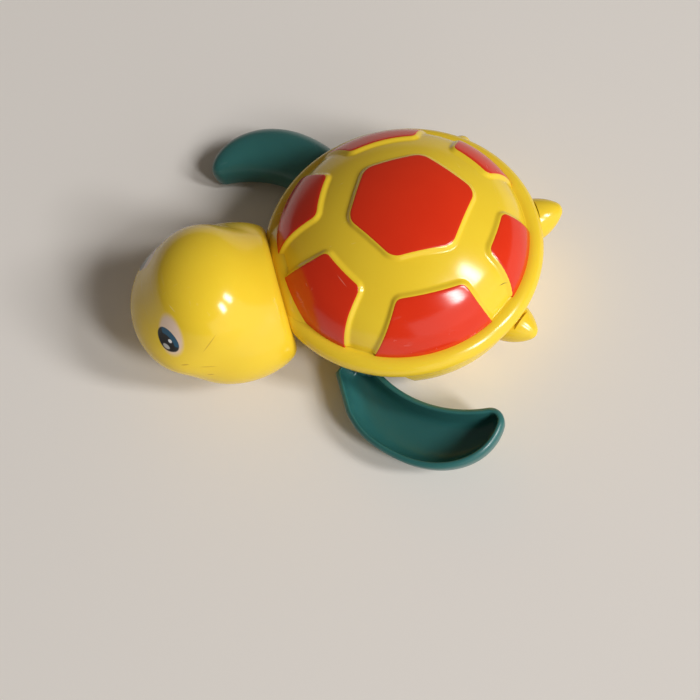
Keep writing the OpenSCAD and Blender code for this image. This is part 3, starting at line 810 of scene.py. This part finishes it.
def side_map(top, low, aim):
    """A side panel's loop, its lower edge on the sill, in a flat map of bearing and slope."""
    loop = back_to_dome(rounded_loop(side_corners(top, low, aim), CORNER_R, FINE_COUNT), aim)
    bearing, slope = dome_place(loop)
    kept = slope < SILL_SLOPE
    edge = bearing[kept & (slope > SILL_SLOPE - SILL_BAND)]
    bearing = np.where(kept, bearing, np.clip(bearing, edge.min(), edge.max()))
    return np.stack([bearing, np.minimum(slope, SILL_SLOPE)], axis=1) * MAP_SCALE


def map_to_dome(flat_points, lift_mm):
    return dome_point(*(flat_points / MAP_SCALE).T, lift_mm)


def plate(name, flat_loop, to_dome, side):
    """A plate from its loop in a flat map, and the map's way onto the dome."""
    loop = even_loop(flat_loop, LOOP_COUNT)
    middle = loop.mean(axis=0)
    away = np.linalg.norm(loop - middle, axis=1)[:, None]
    rows = [to_dome(loop, SKIRT_LIFT)]
    for inset, lift_mm in zip(RING_INSETS, RING_LIFTS):
        rows.append(to_dome(loop + (middle - loop) * inset / away, lift_mm))
    for share in FILL_SHARES:
        rows.append(to_dome(middle + (loop - middle) * share * (1 - RING_INSETS[-1] / away), 0.0))
    points = np.concatenate([*rows, to_dome(middle[None], SKIRT_LIFT), to_dome(middle[None], 0.0)])
    faces = capped_faces(len(rows), LOOP_COUNT)
    if loop_sense(loop) * side > 0:
        faces = [f[::-1] for f in faces]
    return new_piece(name, points * np.array([1, side, 1]), faces, scute_red)


crown_loop = rounded_loop(CENTRE_PLAN, CROWN_CORNER_R, FINE_COUNT)
settle(plate("panel_crown", crown_loop, on_dome, 1), "hull", "scute_red", "scute_centre")
for label, (top, low, aim) in SIDE_PANELS.items():
    flat_map = side_map(top, low, aim)
    for word, side in (("left", 1), ("right", -1)):
        panel = plate(f"panel_{label}_{word}", flat_map, map_to_dome, side)
        settle(panel, "hull", "scute_red", f"{label}_{word}")

# %% [markdown]
# ## The head
# The head is a hollow moulding on the toy. Its skull, muzzle, nape and cheeks run into one another without
# any crease except a soft valley over each cheek. Such a shape is easiest as a field: each part is an oval,
# and a soft minimum joins them. Rays from the head's middle find the surface by halving, which gives exact
# points and so clean reflections. The flat back stands against the hood.

# %% Head surface
HEAD_MIDDLE = np.array([46.5, 0.0, 21.5])
SKULL = (np.array([48.7, 0, 25.3]), np.array([14.4, 17.1, 14.0]), math.radians(4))
MUZZLE = (np.array([54.3, 0, 20.7]), np.array([14.3, 18.2, 10.3]), 0.0)
NAPE = (np.array([42.0, 0, 20.5]), np.array([16.0, 17.3, 11.6]), 0.0)
CHEEK = (np.array([43.7, 11.4, 16.5]), np.array([15.3, 9.8, 10.4]), 0.0)
SKULL_FLOW, CHEEK_FLOW, BACK_EDGE = 4.0, 3.0, 1.6
HEAD_RINGS, HEAD_SIDES = 190, 224
RAY_FROM, RAY_TO = 2.0, 40.0


def oval_gap(p, middle, half, pitch):
    q = p - middle
    x, z = rotated(q[..., 0], q[..., 2], pitch)
    q = np.stack([x, q[..., 1], z], axis=-1)
    k = np.linalg.norm(q / half, axis=-1)
    return k * (k - 1) / np.maximum(np.linalg.norm(q / half**2, axis=-1), TINY)


def flow(a, b, width):
    return np.minimum(a, b) - np.maximum(width - np.abs(a - b), 0) ** 2 / (4 * width)


def head_gap(p):
    mirrored = np.concatenate([p[..., :1], np.abs(p[..., 1:2]), p[..., 2:]], axis=-1)
    gap = flow(oval_gap(p, *SKULL), oval_gap(p, *MUZZLE), SKULL_FLOW)
    gap = flow(gap, oval_gap(p, *NAPE), SKULL_FLOW)
    gap = flow(gap, oval_gap(mirrored, *CHEEK), CHEEK_FLOW)
    return -flow(-gap, p[..., 0] - NECK_X, BACK_EDGE)


tilts = np.linspace(0, math.pi, HEAD_RINGS + 1)[1:-1]
turns = np.linspace(0, FULL_TURN, HEAD_SIDES, endpoint=False)
tilt, turn = [grid.ravel() for grid in np.meshgrid(tilts, turns, indexing="ij")]
aims = np.stack([np.cos(tilt), np.sin(tilt) * np.cos(turn), np.sin(tilt) * np.sin(turn)], axis=-1)
aims = np.concatenate([aims, [[1, 0, 0], [-1, 0, 0]]])


def head_ray(reach):
    return HEAD_MIDDLE + aims * reach[:, None]


head_points = by_halving(head_gap, head_ray, len(aims), RAY_FROM, RAY_TO)
head = new_piece("head_smooth", head_points, capped_faces(len(tilts), HEAD_SIDES), head_yellow)
settle(head, "hull", "shell_yellow", "head")

# %% [markdown]
# ## The flippers
# A flipper is a crescent-shaped scoop: an even wall with a rounded lip all round, deepest in the middle. It
# is lofted as closed sections that run from the outer edge under the scoop to the inner edge and back
# through the scoop's floor. The outer edge is part of an oval, the inner one part of a circle, with a round
# tip. The left one lies open side up with its tip aft, the right one is turned half a turn on.

# %% Flipper edges
LOBE_C, LOBE_HALF, LOBE_TURN = np.array([10.4, 34.3]), np.array([22.0, 17.3]), math.radians(57.2)
BAY_C, BAY_R = np.array([29.6, 13.6]), 30.4
ROOT_Y, TIP_R, LIP_Z = 18.0, 3.4, 2.0
BLADE_SWELL, BLADE_FROM, BLADE_RUN = 0.7, 48, 10
ROOT_SWELL, ROOT_FROM, ROOT_RUN, ROOT_REACH = 1.4, 32, 7, 8.9
SWELL_START, SWELL_RUN = 19.5, 3
LOBE_STEPS, TIP_SKIP, BAY_STEPS, TIP_STEPS, TIP_SEARCH = 4001, 200, 600, 41, 20001


def lobe(turn, shrink=0.0):
    half = LOBE_HALF - shrink
    return LOBE_C + np.stack(rotated(half[0] * np.cos(turn), half[1] * np.sin(turn), LOBE_TURN), axis=-1)


def tip_circle():
    """Middle of the round tip, which touches both edges from inside."""
    turns = np.linspace(0, FULL_TURN, TIP_SEARCH)
    line = lobe(turns, TIP_R)
    off = np.hypot(*(line - BAY_C).T) - BAY_R - TIP_R
    hits = np.nonzero(np.diff(np.sign(off)))[0]
    best = max(hits, key=lambda i: line[i, 0])
    return line[best], turns[best]


tip_c, tip_turn = tip_circle()


def heading(v):
    return math.atan2(v[1], v[0])


def circle(middle, radius, angles):
    return middle + radius * np.stack([np.cos(angles), np.sin(angles)], axis=-1)


def edges(shrink):
    """The outer and the inner edge from the root to the tip, moved inwards by a given amount."""
    outer = lobe(np.linspace(tip_turn, tip_turn + FULL_TURN, LOBE_STEPS), shrink)
    stop = np.argmax((outer[:, 1] < ROOT_Y) & (np.arange(LOBE_STEPS) > TIP_SKIP))
    outer = outer[: stop + 1]
    bay = BAY_R + shrink
    bay_root = math.pi - math.asin((ROOT_Y - BAY_C[1]) / bay)
    inner = circle(BAY_C, bay, np.linspace(bay_root, heading(tip_c - BAY_C), BAY_STEPS))
    start = heading(inner[-1] - tip_c)
    sweep = (heading(outer[0] - tip_c) - start) % FULL_TURN
    arc = circle(tip_c, TIP_R - shrink, start + sweep * np.linspace(0, 1, TIP_STEPS))
    half_arc = TIP_STEPS // 2 + 1
    outer = np.concatenate([outer[::-1], arc[::-1][:half_arc]])
    inner = np.concatenate([inner, arc[:half_arc]])
    y = outer[:, 1]
    swell = BLADE_SWELL * smooth((BLADE_FROM - y) / BLADE_RUN)
    swell += ROOT_SWELL * smooth((ROOT_FROM - y) / ROOT_RUN)
    swell *= smooth((y - SWELL_START) / SWELL_RUN) * (outer[:, 0] < LOBE_C[0])
    outer[:, 0] = np.maximum(outer[:, 0] - swell, shrink - ROOT_REACH)
    return outer, inner


print("flipper tip at", tip_c.round(2), "edge points", [len(line) for line in edges(0)])

# %% Flipper loft
SCOOP_DEPTH, FLIPPER_WALL, FULL_WIDTH = 8.5, 1.4, 15.5
LIP_W, LIP = 1.5, 0.95
LIP_SHARES = np.array([0.08, 0.2, 0.35, 0.5, 0.65, 0.82, 0.95])
LIP_HEIGHTS = LIP * np.array([-0.66, -0.42, -0.2, -0.06, 0.0, -0.03, -0.3])
ALONG, ACROSS, TIP_CROWDING = 120, 25, 1.6
UNDER_POWER, FLOOR_POWER = 2.3, 2.6

shares = 1 - (1 - np.linspace(0, 1, ALONG)) ** TIP_CROWDING
outer_line, inner_line = [along_line(line, shares) for line in edges(0)]
outer_floor, inner_floor = [along_line(line, shares) for line in edges(LIP_W)]
width = np.linalg.norm(inner_line - outer_line, axis=1)
full = np.clip(width / FULL_WIDTH, 0, 1)
depths = SCOOP_DEPTH * np.sqrt(1 - (1 - full) ** 2)


def bowl(depth, v, power):
    """Heights across the scoop, from the lip's foot down to a depth and up again."""
    return -LIP - max(depth - LIP, 0.0) * (1 - np.abs(2 * v - 1) ** power) ** (1 / power)


def crossing(first, last, steps, heights):
    """Points from one edge point towards another, each at its height over the lip."""
    flat = first + (last - first) * steps[:, None]
    return np.concatenate([flat, heights[:, None] + LIP_Z], axis=1)


there = np.linspace(0, 1, ACROSS)
back = there[::-1]
sections = []
stations = zip(outer_line, inner_line, outer_floor, inner_floor, depths)
for outer, inner, outer_in, inner_in, depth in stations:
    under = crossing(outer, inner, there, bowl(depth, there, UNDER_POWER))
    inner_lip = crossing(inner, inner_in, LIP_SHARES, LIP_HEIGHTS)
    floor = crossing(outer_in, inner_in, back, bowl(depth - FLIPPER_WALL, back, FLOOR_POWER))
    outer_lip = crossing(outer, outer_in, LIP_SHARES[::-1], LIP_HEIGHTS[::-1])
    sections.append(np.concatenate([under, inner_lip, floor, outer_lip]))
scoop_faces = capped_faces(ALONG, len(sections[0]))
scoop_ends = [sections[0].mean(axis=0), sections[-1].mean(axis=0)]
scoop_points = np.concatenate([*sections, scoop_ends])
print("scoop points", len(scoop_points), "widest", round(float(width.max()), 1))

# %% Hub of a flipper
HUB_R, HUB_SIDES, HUB_Y = 4.0, 48, (18.0, 24.4)
hub_profile = [(1.5, HUB_Y[0]), (3.6, HUB_Y[0]), (HUB_R, HUB_Y[0] + 0.4), (HUB_R, 22.4)]
hub_profile += [(3.8, 23.3), (3.2, 23.9), (2.2, 24.3), (1.0, HUB_Y[1])]
hub_turns = np.linspace(0, FULL_TURN, HUB_SIDES, endpoint=False)
hub_points = [[r * math.cos(a), y, r * math.sin(a)] for r, y in hub_profile for a in hub_turns]
hub_points += [[0, HUB_Y[0], 0], [0, HUB_Y[1], 0]]
hub_faces = capped_faces(len(hub_profile), HUB_SIDES, len(scoop_points))
flipper_points = np.concatenate([scoop_points, hub_points])
print("hub points", len(hub_points))

# %% Both flippers on the shaft
SHAFT_AT, FLIPPER_ANGLE = np.array([15.2, 0, 7.5]), math.radians(8)


def set_out(points):
    """From the flipper's own frame to the toy's."""
    x, z = rotated(points[:, 0], points[:, 2], -FLIPPER_ANGLE)
    return np.stack([x, points[:, 1], z], axis=-1) + SHAFT_AT


def outward(points, faces):
    """Whether a closed mesh's faces point outwards, from the sign of its volume."""
    total = 0.0
    for f in faces:
        for k in range(1, len(f) - 1):
            total += np.dot(points[f[0]], np.cross(points[f[k]], points[f[k + 1]]))
    return total > 0


for word, mirror in (("left", (-1, 1, 1)), ("right", (1, -1, -1))):
    points = set_out(flipper_points * np.array(mirror))
    faces = []
    for chunk in (scoop_faces, hub_faces):
        faces += chunk if outward(points, chunk) else [f[::-1] for f in chunk]
    flipper = new_piece(f"flipper_{word}", points, faces, flipper_teal)
    settle(flipper, "paddles", "flipper_teal", f"{word}_flipper")

# %% [markdown]
# ## Screws by Geometry Nodes
# Screws repeat, so one node tree makes them all: a round head with a cross recess cut into it, a shank and
# a point, placed on each vertex of a small point mesh. The sizes are named inputs, set before the object
# is first evaluated. The result is turned into a plain mesh, because the export drops instances.

# %% Screw tree
SCREW_SIDES = 28
SLOT_LONG, SLOT_WIDE = 1.35, 0.28
POINT_LONG, POINT_R = 1.0 * MM, 0.3 * MM
SCREW_SIZES = ("Head radius", "Head height", "Shank radius", "Length")


def shifted_up(tree, geometry, z):
    shift = fed(tree, "ShaderNodeCombineXYZ", {2: z})[0]
    return fed(tree, "GeometryNodeTransform", {"Geometry": geometry, "Translation": shift})[0]


def rod(tree, radius, length):
    values = {"Vertices": SCREW_SIDES, "Radius": radius, "Depth": length}
    return fed(tree, "GeometryNodeMeshCylinder", values)[0]


def joined(tree, parts):
    node = tree.nodes.new("GeometryNodeJoinGeometry")
    for part in parts:
        wire(tree, part, node.inputs[0])
    return node.outputs[0]


def make_screw_tree():
    inputs = [("Geometry", GEOMETRY), *((label, FLOAT) for label in SCREW_SIZES)]
    inputs += [("Turn", VECTOR), ("Finish", "NodeSocketMaterial")]
    tree, given, out = new_tree("Screw set", inputs, [("Geometry", GEOMETRY)], "GeometryNodeTree")
    head_r, head_h, shank_r, length = [given[label] for label in SCREW_SIZES]
    head_solid = shifted_up(tree, rod(tree, head_r, head_h), times(tree, head_h, -0.5))
    long_side, wide_side = times(tree, head_r, SLOT_LONG), times(tree, head_r, SLOT_WIDE)
    cutters = []
    for first, second in ((long_side, wide_side), (wide_side, long_side)):
        size = fed(tree, "ShaderNodeCombineXYZ", {0: first, 1: second, 2: head_h})[0]
        cube = fed(tree, "GeometryNodeMeshCube", {"Size": size})[0]
        cutters.append(shifted_up(tree, cube, times(tree, head_h, -1.0)))
    values = {"Mesh 1": head_solid, "Mesh 2": joined(tree, cutters)}
    cut = fed(tree, "GeometryNodeMeshBoolean", values, operation="DIFFERENCE")[0]
    shank_long = minus(tree, length, POINT_LONG)
    shank = shifted_up(tree, rod(tree, shank_r, shank_long), times(tree, shank_long, 0.5))
    values = {"Vertices": SCREW_SIDES, "Depth": POINT_LONG, "Radius Top": POINT_R, "Radius Bottom": shank_r}
    point = shifted_up(tree, fed(tree, "GeometryNodeMeshCone", values)[0], shank_long)
    turn = fed(tree, "FunctionNodeEulerToRotation", {0: given["Turn"]})[0]
    values = {"Points": given["Geometry"], "Instance": joined(tree, (cut, shank, point)), "Rotation": turn}
    spread = fed(tree, "GeometryNodeInstanceOnPoints", values)[0]
    real = fed(tree, "GeometryNodeRealizeInstances", {0: spread})[0]
    finish = fed(tree, "GeometryNodeSetMaterial", {"Geometry": real, "Material": given["Finish"]})[0]
    wire(tree, finish, out[0])
    return tree


screw_tree = make_screw_tree()
print("tree", screw_tree.name)


# %% Placing the screws
def grown_by(tree, name, points, values):
    """Runs a geometry tree on a point mesh and keeps the result as a plain mesh object."""
    mesh = bpy.data.meshes.new(name + "_points")
    mesh.from_pydata([tuple(Vector(p) * MM) for p in points], [], [])
    seed = put_in_scene(name + "_points", mesh)
    modifier = seed.modifiers.new("made_by_nodes", "NODES")
    modifier.node_group = tree
    for item in tree.interface.items_tree:
        if item.item_type == "SOCKET" and item.in_out == "INPUT" and item.name in values:
            modifier[item.identifier] = values[item.name]
    graph = bpy.context.evaluated_depsgraph_get()
    result = bpy.data.meshes.new_from_object(seed.evaluated_get(graph))
    bpy.data.objects.remove(seed)
    return put_in_scene(name, result)


BODY_SCREWS = [(24.7, 12.6, 7), (24.7, -12.6, 7), (-15.9, 22.4, 7), (-15.9, -22.4, 7)]
CASE_SCREWS = [(19, 7.1, 13.9), (7.6, 7.1, 28.2), (-14.7, 7.1, 6.6), (3, 7.1, 5.4)]
MOUNT_SCREWS = [(-20.4, -6, 9.6), (-20.4, 6, 9.6)]
# Each set: node, places, sizes in the order of SCREW_SIZES, turn
SCREW_SETS = (
    ("body_screws", BODY_SCREWS, (2.1, 1.4, 1.0, 10), (0, 0, 0)),
    ("gearbox_screws", CASE_SCREWS, (1.8, 1.2, 0.9, 11), (math.pi / 2, 0, 0)),
    ("mount_screws", MOUNT_SCREWS, (1.8, 1.2, 0.9, 7), (math.pi, 0, 0)),
)
for node, places, sizes, turn in SCREW_SETS:
    values = {label: size * MM for label, size in zip(SCREW_SIZES, sizes)}
    values.update({"Turn": turn, "Finish": screw_steel})
    settle(grown_by(screw_tree, node + "_cut", places, values), "hull", "steel", node)

# %% [markdown]
# ## CAD nodes that stay
# The belly pan with its feet and tail, the gears, the gearbox and the shafts have the right shape already.
# They only get their finishes.

# %% Finishes for the CAD nodes
FINISHES = (
    (shell_yellow, ("belly_pan",)),
    (gear_white, ("output_pinion", "intermediate_gear", "great_wheel")),
    (gearbox_grey, ("gearbox_left", "gearbox_right")),
    (shaft_steel, ("cross_shaft", "intermediate_pin", "spring_arbor")),
    (spring_steel, ("mainspring",)),
)
for finish, nodes in FINISHES:
    for node in nodes:
        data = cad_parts[node].data
        data.materials.clear()
        data.materials.append(finish)
print("finished CAD nodes", sum(len(nodes) for _, nodes in FINISHES))

# %% [markdown]
# ## Floor and light
# The toy stands on a plain pale floor. In the photograph a window high on the tail side gives the bright
# panes on head and shell, and the rest of the room is dim. Two narrow soft lamps side by side stand for
# the window, a broad weak one fills from the near side, and an even warm world lifts the shadows.

# %% Floor
FLOOR_HALF, FLOOR_ROUGHNESS, FLOOR_SCALE = 3.0, 0.9, 8.0
FLOOR_TONE, FLOOR_LIGHT_TONE = (0.87, 0.825, 0.775, 1.0), (0.885, 0.84, 0.79, 1.0)


def plain_floor():
    mesh = bpy.data.meshes.new("floor")
    corners = [(FLOOR_HALF * x, FLOOR_HALF * y, 0) for x, y in ((-1, -1), (1, -1), (1, 1), (-1, 1))]
    mesh.from_pydata(corners, [], [(0, 1, 2, 3)])
    material, tree, shader, place = start_material("floor_card")
    tone = mix_colour(tree, noise(tree, place, FLOOR_SCALE), FLOOR_TONE, FLOOR_LIGHT_TONE)
    feed(tree, shader, {"Base Color": tone, "Roughness": FLOOR_ROUGHNESS})
    mesh.materials.append(material)
    put_in_scene("floor", mesh)


plain_floor()
print("floor laid")

# %% Lamps and world
LAMP_TARGET = Vector((0.013, 0.0, 0.02))
PANE_DISTANCE, PANE_SIZE, PANE_POWER = 3.3, (0.46, 0.96), 46.0
FILL_DISTANCE, FILL_SIZE, FILL_POWER = 2.6, (3.8, 1.6), 16.0
WORLD_COLOUR, WORLD_STRENGTH = (1.0, 0.88, 0.76, 1.0), 0.12


def soft_lamp(name, direction, distance, size, power):
    lamp = bpy.data.lights.new(name, "AREA")
    lamp.shape = "RECTANGLE"
    lamp.size, lamp.size_y = size
    lamp.energy = power
    obj = put_in_scene(name, lamp)
    aim = Vector(direction).normalized()
    obj.location = LAMP_TARGET + aim * distance
    obj.rotation_euler = aim.to_track_quat("Z", "Y").to_euler()


soft_lamp("window_left_pane", (-0.66, 0.41, 0.63), PANE_DISTANCE, PANE_SIZE, PANE_POWER)
soft_lamp("window_right_pane", (-0.44, 0.64, 0.63), PANE_DISTANCE, PANE_SIZE, PANE_POWER)
soft_lamp("room_fill", (-0.45, 0.85, 0.28), FILL_DISTANCE, FILL_SIZE, FILL_POWER)

world = bpy.data.worlds.new("room")
scene.world = world
world.use_nodes = True
background = world.node_tree.nodes["Background"]
feed(world.node_tree, background, {"Color": WORLD_COLOUR, "Strength": WORLD_STRENGTH})
print("lamps set")
